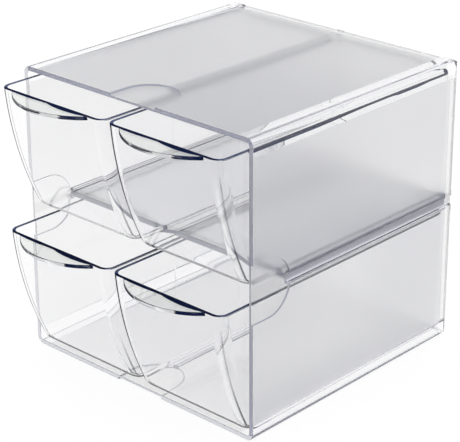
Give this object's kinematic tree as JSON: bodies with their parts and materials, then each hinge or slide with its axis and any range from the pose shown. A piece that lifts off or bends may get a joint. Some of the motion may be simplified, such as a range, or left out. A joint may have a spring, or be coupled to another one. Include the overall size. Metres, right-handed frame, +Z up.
{
  "type": "stackable drawer box",
  "caption": "Stackable clear plastic box with pull-out drawers that have bowed fronts and crescent pulls, standing on a crossed shelf and upright divider.",
  "frame": {"origin": "on the table, below the middle of the box and its drawer pulls together", "axes": "+X to the right seen from the front, +Y from the front to the back, +Z up"},
  "size_m": [0.152, 0.1816, 0.152],
  "materials": {
    "case_clear": "clear, with finely frosted panels between polished bands",
    "divider_clear": "clear",
    "drawer_clear": "clear and glossy"
  },
  "bodies": {
    "case": {"case_shell": "case_clear", "divider_shelf": "divider_clear", "divider_upright": "divider_clear"},
    "drawer_lower_left": {"drawer_lower_left": "drawer_clear"},
    "drawer_lower_right": {"drawer_lower_right": "drawer_clear"},
    "drawer_upper_left": {"drawer_upper_left": "drawer_clear"},
    "drawer_upper_right": {"drawer_upper_right": "drawer_clear"}
  },
  "joints": [
    {"name": "drawer_lower_left_slide", "type": "slide", "parent": "case", "child": "drawer_lower_left", "axis": [0, -1, 0], "range_m": [0, 0.12]},
    {"name": "drawer_lower_right_slide", "type": "slide", "parent": "case", "child": "drawer_lower_right", "axis": [0, -1, 0], "range_m": [0, 0.12]},
    {"name": "drawer_upper_left_slide", "type": "slide", "parent": "case", "child": "drawer_upper_left", "axis": [0, -1, 0], "range_m": [0, 0.12]},
    {"name": "drawer_upper_right_slide", "type": "slide", "parent": "case", "child": "drawer_upper_right", "axis": [0, -1, 0], "range_m": [0, 0.12]}
  ]
}
